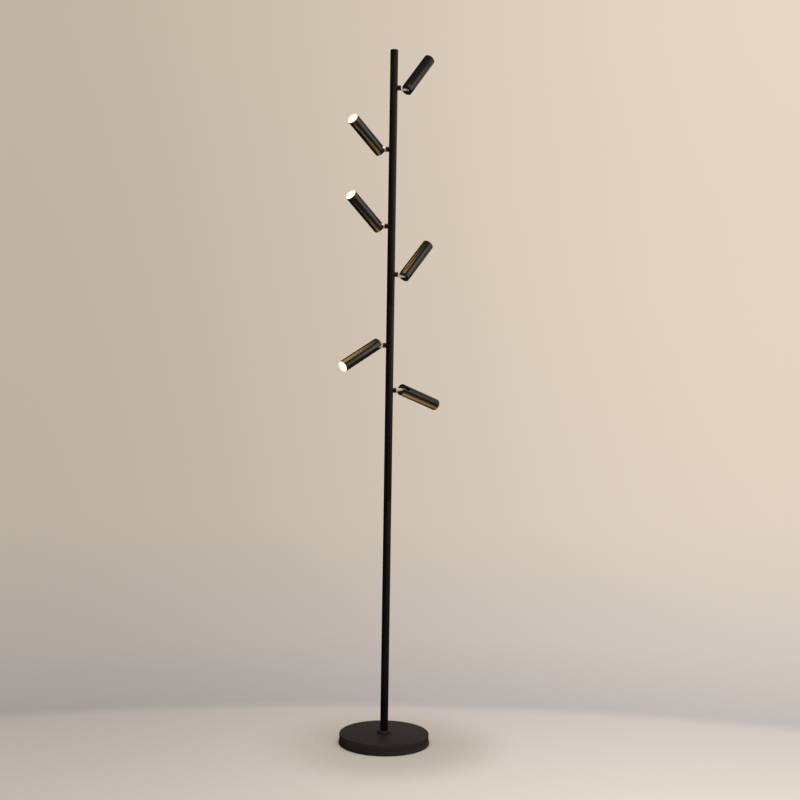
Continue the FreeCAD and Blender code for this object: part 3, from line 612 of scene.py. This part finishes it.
def head_axes(number):
    """Height of a boss, the pivot, and three directions: outwards, along the pin, the aim.

    The aim is the outward direction turned about the pin by t: b cos t + (p x b) sin t.
    """
    swivel, tilt = joints[f"swivel_{number}"], joints[f"tilt_{number}"]
    out, pin = np.array(swivel["axis"]), np.array(tilt["axis"])
    turn = -math.radians(sum(tilt["range_deg"]) / 2)
    aim = math.cos(turn) * out + math.sin(turn) * np.cross(pin, out)
    return Head(number, swivel["pos_m"][2], np.array(tilt["pos_m"]), out, pin, aim)


heads = [head_axes(number) for number in HEAD_NUMBERS]
for head in heads:
    print(f"head {head.number}: boss at {head.height:.3f} m, aim {np.round(head.aim, 2)}")

# %% [markdown]
# ## Bosses and knuckles
#
# A boss is a short black barrel welded to the pole. Its inner end is cut to the pole's round
# surface, which makes a saddle: the further a point lies to the side of the pole, the deeper
# the barrel reaches. The knuckle turns in it. It is a zinc casting under satin chrome: a shank
# inside the boss, a thin flange against it, and a flat tongue with a round eye, which the pivot
# pin crosses. The tongue is a flat outline with two holes, given its thickness with soft edges,
# which is what a filled curve does best.

# %% Bosses
POLE_RADIUS, BOSS_RADIUS, BOSS_FACE = 9.5, 6.0, 17.0
SPIGOT_RADIUS, SPIGOT_END, SHANK_HOLE = 4.4, 7.0, 3.05
BOSS_EDGE, BOSS_COLUMNS = 0.6, 48


def boss_shell():
    """Barrel with a saddle, a spigot through the pole's wall and a bore for the shank.

    At radius r and angle a, the saddle lies sqrt(R^2 - (r cos a)^2) from the pole's axis, with
    R the pole's radius, because r cos a is how far the point is to the side of the pole.
    """
    angle = angles(BOSS_COLUMNS)
    arc = rounded([(BOSS_RADIUS, 0, 0), (BOSS_RADIUS, BOSS_FACE, BOSS_EDGE),
                   (SHANK_HOLE, BOSS_FACE, 0)], looped=False)[1:-1]
    rows = [(BOSS_RADIUS, None), *arc, (SHANK_HOLE, BOSS_FACE), (SHANK_HOLE, SPIGOT_END),
            (SPIGOT_RADIUS, SPIGOT_END), (SPIGOT_RADIUS, None)]
    points = []
    for radius, reach in rows:
        saddle = np.sqrt(POLE_RADIUS**2 - (radius * np.cos(angle))**2)
        along = saddle if reach is None else np.full(BOSS_COLUMNS, reach)
        points.append(np.stack((radius * np.cos(angle), radius * np.sin(angle), along), -1))
    return shell(np.stack(points) * MM)


TO_VIEWER = (0.0, -1.0, 0.0)
bosses = [placed(boss_shell(), (0, 0, head.height), TO_VIEWER, head.out) for head in heads]
make_piece("pole_bosses_welded", bosses, "stand", "pole_bosses", "satin_coat")

# %% Knuckles
SWAGE_NEAR, SWAGE_FAR, SWAGE_RADIUS, SHANK_RADIUS, SHANK_BORE = 5.3, 6.8, 4.0, 3.0, 1.3
FLANGE_NEAR, FLANGE_FAR, FLANGE_RADIUS = 17.2, 18.2, 6.5
TONGUE_HALF, TONGUE_THICK, TONGUE_EDGE = 6.3, 7.0, 0.45
PIVOT_REACH, PIN_HOLE, LEAD_EXIT = 35.13, 2.05, 23.2
TONGUE_ROOT = FLANGE_FAR - 0.3

shank_profile = rounded([
    (SHANK_BORE, SWAGE_NEAR, 0.0), (SWAGE_RADIUS, SWAGE_NEAR, 0.3),
    (SWAGE_RADIUS, SWAGE_FAR, 0.2), (SHANK_RADIUS, SWAGE_FAR, 0.0),
    (SHANK_RADIUS, FLANGE_NEAR, 0.0), (FLANGE_RADIUS, FLANGE_NEAR, 0.25),
    (FLANGE_RADIUS, FLANGE_FAR, 0.4), (SHANK_BORE, FLANGE_FAR, 0.0),
])


def ring(centre, radius, count=40):
    """Points of a circle in the tongue's plane, as (across, outwards)."""
    angle = angles(count)
    return np.stack((centre[0] + radius * np.cos(angle), centre[1] + radius * np.sin(angle)), -1)


def tongue_outline(inset, count=24):
    """Straight flanks from the flange, closed by a half circle round the eye.

    The half circle's points are (w cos a, e + w sin a), with a from 0 to 180 degrees, w the
    half width less the inset and e the eye's distance.
    """
    half = TONGUE_HALF - inset
    angle = np.linspace(0, math.pi, count)
    round_end = np.stack((half * np.cos(angle), PIVOT_REACH + half * np.sin(angle)), -1)
    return np.concatenate((round_end, ((-half, TONGUE_ROOT), (half, TONGUE_ROOT))))


def tongue_shell():
    """The tongue as a filled flat curve with two holes and rounded edges, made a mesh.

    A curve's bevel grows its outline by the bevel's depth, so the outline starts that much
    inside, and each hole that much wider. The curve's own (across, outwards, thickness) then
    become the knuckle's (y, z, x).
    """
    curve = bpy.data.curves.new("tongue_outline", "CURVE")
    curve.dimensions, curve.fill_mode = "2D", "BOTH"
    curve.extrude = (TONGUE_THICK / 2 - TONGUE_EDGE) * MM
    curve.bevel_depth, curve.bevel_resolution = TONGUE_EDGE * MM, 2
    for loop in (tongue_outline(TONGUE_EDGE),
                 ring((0, PIVOT_REACH), PIN_HOLE + TONGUE_EDGE),
                 ring((0, LEAD_EXIT), SHANK_BORE + TONGUE_EDGE)):
        spline = curve.splines.new("POLY")
        spline.points.add(len(loop) - 1)
        flat = np.zeros((len(loop), 4))
        flat[:, :2], flat[:, 3] = loop * MM, 1.0
        spline.points.foreach_set("co", flat.ravel())
        spline.use_cyclic_u = True
    holder = bpy.data.objects.new("tongue_outline", curve)
    mesh = bpy.data.meshes.new_from_object(holder)
    mesh.calc_loop_triangles()
    points = np.empty(len(mesh.vertices) * 3)
    mesh.vertices.foreach_get("co", points)
    points = points.reshape(-1, 3)
    faces = np.empty(len(mesh.loop_triangles) * 3, np.int32)
    mesh.loop_triangles.foreach_get("vertices", faces)
    bpy.data.objects.remove(holder)
    bpy.data.meshes.remove(mesh)
    return points[:, [2, 0, 1]], faces.reshape(-1, 3), points[faces, :2]


shank, tongue = shell(turned(shank_profile * MM, BOSS_COLUMNS)), tongue_shell()
for head in heads:
    make_piece(f"swivel_knuckle_{head.number}_cast",
               [placed(part, (0, 0, head.height), head.pin, head.out) for part in (shank, tongue)],
               f"knuckle_{head.number}", f"swivel_knuckle_{head.number}", "chrome_plate")

# %% [markdown]
# ## The heads
#
# A head's tube is drawn aluminium, cut to length, turned at both ends and slotted across its
# rear, so that the tongue fits between the two halves of the fork inside. On the grid, the
# slot is made by columns that start further forward. Each edge of the slot has two columns at
# the same place, one on each side of the step, and the faces between them are the slot's side
# walls.
#
# The lens is turned from its real section, with rings on its front as moulded optics have.

# %% Tubes
TUBE_RADIUS, TUBE_BORE, TUBE_REAR, TUBE_FRONT = 14.0, 12.5, -8.5, 113.0
LIP_RADIUS, LENS_SEAT = 11.9, 111.8
REAR_EDGE, FRONT_EDGE, LIP_EDGE = 0.4, 0.5, 0.25
SLOT_HALF, SLOT_END = 3.8, 7.0
SIDE_COLUMNS, SLOT_COLUMNS = 41, 13


def slotted_tube():
    """Grid of a tube's section carried round its axis, with a slot across the rear.

    A slot edge is the plane |x| = s. At radius r it lies at the angle e = acos(s / r) from the
    X axis, so the right side runs from -e to e, the slot from e to pi - e, the left side from
    pi - e to pi + e and the slot again to 2 pi - e. In the slot, every height under its end is
    raised to it.
    """
    profile = rounded([
        (LIP_RADIUS, LENS_SEAT, 0.0), (LIP_RADIUS, TUBE_FRONT, LIP_EDGE),
        (TUBE_RADIUS, TUBE_FRONT, FRONT_EDGE), (TUBE_RADIUS, SLOT_END, 0.0),
        (TUBE_RADIUS, TUBE_REAR, REAR_EDGE), (TUBE_BORE, TUBE_REAR, 0.0),
        (TUBE_BORE, SLOT_END, 0.0), (TUBE_BORE, LENS_SEAT, 0.0)])
    radius, height = profile[:, :1], profile[:, 1:]
    edge = np.arccos(SLOT_HALF / radius)
    side, slot = np.linspace(0, 1, SIDE_COLUMNS), np.linspace(0, 1, SLOT_COLUMNS)
    right = (2 * side - 1) * edge
    above = edge + slot * (math.pi - 2 * edge)
    angle = np.concatenate((right, above, right + math.pi, above + math.pi), axis=1)
    raised = np.maximum(height, SLOT_END)
    low_side, high_side = np.repeat(height, SIDE_COLUMNS, 1), np.repeat(raised, SLOT_COLUMNS, 1)
    along = np.concatenate((low_side, high_side, low_side, high_side), axis=1)
    return np.stack((radius * np.cos(angle), radius * np.sin(angle), along), axis=-1) * MM


# %% Lenses
LENS_COLUMNS, LENS_FACE_POINTS = 64, 60
LENS_RADIUS, LENS_FACE_RADIUS, LENS_FRONT, LENS_DOME = 12.4, 11.8, 111.7, 0.4
LENS_RIM_LOW, LENS_RIM_WIDTH = 108.6, 1.2
LENS_FOOT, LENS_FOOT_RADIUS, LENS_HOLLOW, LENS_HOLLOW_RADIUS = 93.8, 7.6, 95.8, 6.4
RING_PITCH, RING_DEPTH = 1.6, 0.12


def lens_profile():
    """Section of the lens from the middle of its front round to the hollow over the chip.

    The front is a shallow dome with rings: z = f + d (1 - (r / R)^2) - k (1 - cos(2 pi r / p)) / 2.
    """
    radius = np.linspace(0, LENS_FACE_RADIUS, LENS_FACE_POINTS)
    dome = LENS_DOME * (1 - (radius / LENS_FACE_RADIUS)**2)
    rings = RING_DEPTH * (1 - np.cos(2 * math.pi * radius / RING_PITCH)) / 2
    front = np.stack((radius, LENS_FRONT + dome - rings), axis=-1)
    back = np.array(((LENS_RADIUS, LENS_FRONT), (LENS_RADIUS, LENS_RIM_LOW),
                     (LENS_RADIUS - LENS_RIM_WIDTH, LENS_RIM_LOW), (LENS_FOOT_RADIUS, LENS_FOOT),
                     (LENS_HOLLOW_RADIUS, LENS_FOOT), (LENS_HOLLOW_RADIUS, LENS_HOLLOW),
                     (0.0, LENS_HOLLOW)))
    return np.concatenate((front, back))


tube = shell(slotted_tube())
lens = shell(turned(lens_profile() * MM, LENS_COLUMNS), rows_closed=False)
for head in heads:
    make_piece(f"lamp_tube_{head.number}_drawn", [placed(tube, head.pivot, head.pin, head.aim)],
               f"head_{head.number}", f"lamp_tube_{head.number}", "anodised_black")
    make_piece(f"lens_{head.number}_moulded", [placed(lens, head.pivot, head.pin, head.aim)],
               f"head_{head.number}", f"lens_{head.number}", "lit_lens")

# %% [markdown]
# ## The pieces that keep their solids
#
# The iron weight, the stud with its washer and nut, the driver, the forks, the pins, the heat
# sinks and the boards are hidden or show only in a gap, and their solids already have the
# right shape. They only need their real finish.

# %% Finishes on the solids
slots = {part["node"]: part["material_slot"] for part in frame["record"]["subparts"]}
kept = [node for node, solid in frame["nodes"].items() if not solid.hide_render]
for node in kept:
    surface = frame["nodes"][node].data
    surface.materials.clear()
    surface.materials.append(finishes[slots[node]])
print("solids kept:", len(kept), "of", len(slots))

# %% [markdown]
# ## Camera
#
# The photograph was taken from in front, about 2.8 m away, with the camera level at half the
# lamp's height and turned by just under a degree, so that the pole leans a little to the
# right. Its lens, on a sensor 36 mm wide, follows from how large the lamp is in the picture.

# %% Camera
CAMERA_PLACE = (0.0266, -2.808, 0.8315)
CAMERA_LENS_MM = 52.11
CAMERA_ROLL_DEG = 0.87

camera_data = bpy.data.cameras.new("camera")
camera_data.lens = CAMERA_LENS_MM
camera = bpy.data.objects.new("camera", camera_data)
camera.location = CAMERA_PLACE
camera.rotation_euler = (math.radians(90), -math.radians(CAMERA_ROLL_DEG), 0)
bpy.context.scene.collection.objects.link(camera)
bpy.context.scene.camera = camera

# %% [markdown]
# ## Room and light
#
# The room is a pale floor and a warm backdrop. The backdrop is the world itself: its colour
# depends on how steeply the eye looks down, with a soft line where the wall would meet the
# floor. Painted shade darkens it towards that line, and painted light makes it a little
# brighter towards the right. No wall stands in the way of a view from behind. The floor is a
# wide disc that takes the lamp's shadow near its foot and fades into the backdrop further out.
#
# A black tube shows little but what it mirrors, so the mirrored room is set by itself. It is
# dim on the left, overhead and below the eye, where a real room is darker, and that is what
# gives black tubes their contrast. A tall window on the right draws a cool streak along each
# tube, and warm panels above and below draw a golden one. These panels only show in gloss, and
# the ceiling panel only lights. The floor isn't mirrored, so the base's side stays dark.

# %% Backdrop
FLOOR_LINE = -math.sin(math.radians(14.8))
# Painted shade: the backdrop darkens towards the floor line from both sides, where wall and floor meet.
BACKDROP_STOPS = (
    (-0.33, "#D2C7BD"), (FLOOR_LINE - 0.003, "#BDB3AC"), (FLOOR_LINE + 0.003, "#ACA5A1"),
    (-0.2, "#BAB1AA"), (-0.1, "#C7BAAC"), (0.3, "#CDBFAE"))
# Painted light: the backdrop that the eye sees grows brighter towards the right.
SEEN_PAINTED_LIGHT = (("X", -0.34, 0.34, 0.88, 1.32),)
MIRRORED_CHANGES = (
    ("X", -0.8, 0.7, 0.05, 0.55), ("Z", -0.2, 0.02, 0.2, 1.0), ("Z", 0.25, 0.75, 1.0, 0.25))
PLAIN_LIGHT = 0.36


def ray_brightness(tree, ray, changes):
    """Product of smooth changes, each along one axis of the ray's direction.

    A change is (axis, start, end, level at the start, level at the end).
    """
    level = 1.0
    for axis, start, end, first, last in changes:
        change = add(tree, "ShaderNodeMapRange", {
            "Value": ray[axis], "From Min": start, "From Max": end,
            "To Min": first, "To Max": last}, interpolation_type="SMOOTHSTEP")
        level = add(tree, "ShaderNodeMath", {0: level, 1: change.outputs["Result"]},
                    operation="MULTIPLY").outputs[0]
    return level


def backdrop():
    """World: one room for the eye, a darker one for gloss, and plain soft light for the rest."""
    world = bpy.data.worlds.new("room")
    world.use_nodes = True
    tree = world.node_tree
    tree.nodes.clear()
    direction = add(tree, "ShaderNodeTexCoord").outputs["Generated"]
    ray = add(tree, "ShaderNodeSeparateXYZ", {"Vector": direction}).outputs
    lowest, highest = BACKDROP_STOPS[0][0], BACKDROP_STOPS[-1][0]
    steep = add(tree, "ShaderNodeMapRange", {
        "Value": ray["Z"], "From Min": lowest, "From Max": highest}).outputs["Result"]
    ramp = add(tree, "ShaderNodeValToRGB", {"Fac": steep})
    stops = ramp.color_ramp.elements
    for index, (height, colour) in enumerate(BACKDROP_STOPS):
        place = (height - lowest) / (highest - lowest)
        stop = stops[index] if index < len(stops) else stops.new(place)
        stop.position, stop.color = place, linear(colour)
    seen, mirrored = (
        add(tree, "ShaderNodeBackground", {
            "Color": ramp.outputs["Color"], "Strength": ray_brightness(tree, ray, changes)})
        for changes in (SEEN_PAINTED_LIGHT, MIRRORED_CHANGES))
    lit = add(tree, "ShaderNodeBackground", {
        "Color": linear("#FFFAF5"), "Strength": PLAIN_LIGHT})
    paths = add(tree, "ShaderNodeLightPath").outputs
    unseen = add(tree, "ShaderNodeMixShader", {
        0: paths["Is Glossy Ray"], 1: lit.outputs[0], 2: mirrored.outputs[0]})
    direct = add(tree, "ShaderNodeMath", {
        0: paths["Is Camera Ray"], 1: paths["Is Transmission Ray"]}, operation="MAXIMUM")
    room = add(tree, "ShaderNodeMixShader", {
        0: direct.outputs[0], 1: unseen.outputs[0], 2: seen.outputs[0]})
    add(tree, "ShaderNodeOutputWorld", {"Surface": room.outputs[0]})
    bpy.context.scene.world = world


backdrop()
print("backdrop:", len(BACKDROP_STOPS), "colours, floor line at", round(FLOOR_LINE, 3))

# %% Floor
FLOOR_RADIUS, FLOOR_CORNERS, FADE_START, FADE_END = 6.0, 96, 0.14, 0.34


def pale_floor():
    """Matte pale floor near the lamp, clear further out, where the backdrop shows instead."""
    material, tree = start_material("pale_matte_floor")
    place = add(tree, "ShaderNodeTexCoord").outputs["Object"]
    distance = add(tree, "ShaderNodeVectorMath", {0: place}, operation="LENGTH").outputs["Value"]
    fade = add(tree, "ShaderNodeMapRange", {
        "Value": distance, "From Min": FADE_START, "From Max": FADE_END},
        interpolation_type="SMOOTHSTEP").outputs["Result"]
    paint = add(tree, "ShaderNodeBsdfDiffuse", {"Color": linear("#D2CAC1"), "Roughness": 0.5})
    clear = add(tree, "ShaderNodeBsdfTransparent")
    mix = add(tree, "ShaderNodeMixShader", {0: fade, 1: paint.outputs[0], 2: clear.outputs[0]})
    add(tree, "ShaderNodeOutputMaterial", {"Surface": mix.outputs[0]})
    return material


floor_mesh = bpy.data.meshes.new("floor")
rim = np.append(ring((0, 0), FLOOR_RADIUS, FLOOR_CORNERS), np.zeros((FLOOR_CORNERS, 1)), axis=1)
floor_mesh.from_pydata(rim.tolist(), [], [list(range(FLOOR_CORNERS))])
floor_mesh.materials.append(pale_floor())
floor = bpy.data.objects.new("floor", floor_mesh)
bpy.context.scene.collection.objects.link(floor)
floor.visible_glossy = False


# %% Lights
WARM, WARM_SPREAD_DEG = "#FFC66A", 110.0


def soft_light(name, place, target, size, brightness, colour, mirrored=True, lights=True,
               spread_deg=180.0):
    """A soft box at a place, facing a target, and out of the camera's sight.

    Where it isn't mirrored it only lights, and where it doesn't light it only shows in gloss.
    A brightness of 1 is a face that looks as bright as white paper, which takes a power of
    pi times the area.
    """
    data = bpy.data.lights.new(name, "AREA")
    data.shape, data.size, data.size_y = "RECTANGLE", *size
    data.energy, data.color = brightness * math.pi * size[0] * size[1], linear(colour)[:3]
    data.spread = math.radians(spread_deg)
    lamp = bpy.data.objects.new(name, data)
    lamp.location = place
    lamp.visible_camera, lamp.visible_glossy, lamp.visible_diffuse = False, mirrored, lights
    towards = Vector(target) - Vector(place)
    lamp.rotation_euler = towards.to_track_quat("-Z", "Y").to_euler()
    bpy.context.scene.collection.objects.link(lamp)
    print(f"{name}: {data.energy:.2f} W")


soft_light("window_right", place=(1.5, -0.4, 1.6), target=(0.0, -0.4, 1.6), size=(1.0, 1.6),
           brightness=0.62, colour="#F6F0FF")
glows = {
    "warm_glow_above": ((-0.1, -0.3, 1.76), -1, (0.6, 0.36), 1.4),
    "warm_glow_left": ((-0.3, 0.05, 1.76), -1, (0.4, 0.34), 1.4),
    "warm_pool_below": ((0.35, 0.15, 0.003), 1, (1.1, 0.8), 1.0),
}
for name, ((x, y, z), up, size, brightness) in glows.items():
    soft_light(name, (x, y, z), (x, y, z + up), size, brightness, WARM, lights=False,
               spread_deg=WARM_SPREAD_DEG)
soft_light("ceiling", place=(0.2, -0.4, 3.2), target=(0.0, 0.0, 0.0), size=(2.0, 2.0),
           brightness=4.3, colour="#FFFAF4", mirrored=False)

# %% [markdown]
# ## Colour
#
# The standard view shows each colour as it is written.

# %% View
bpy.context.scene.view_settings.view_transform = "Standard"
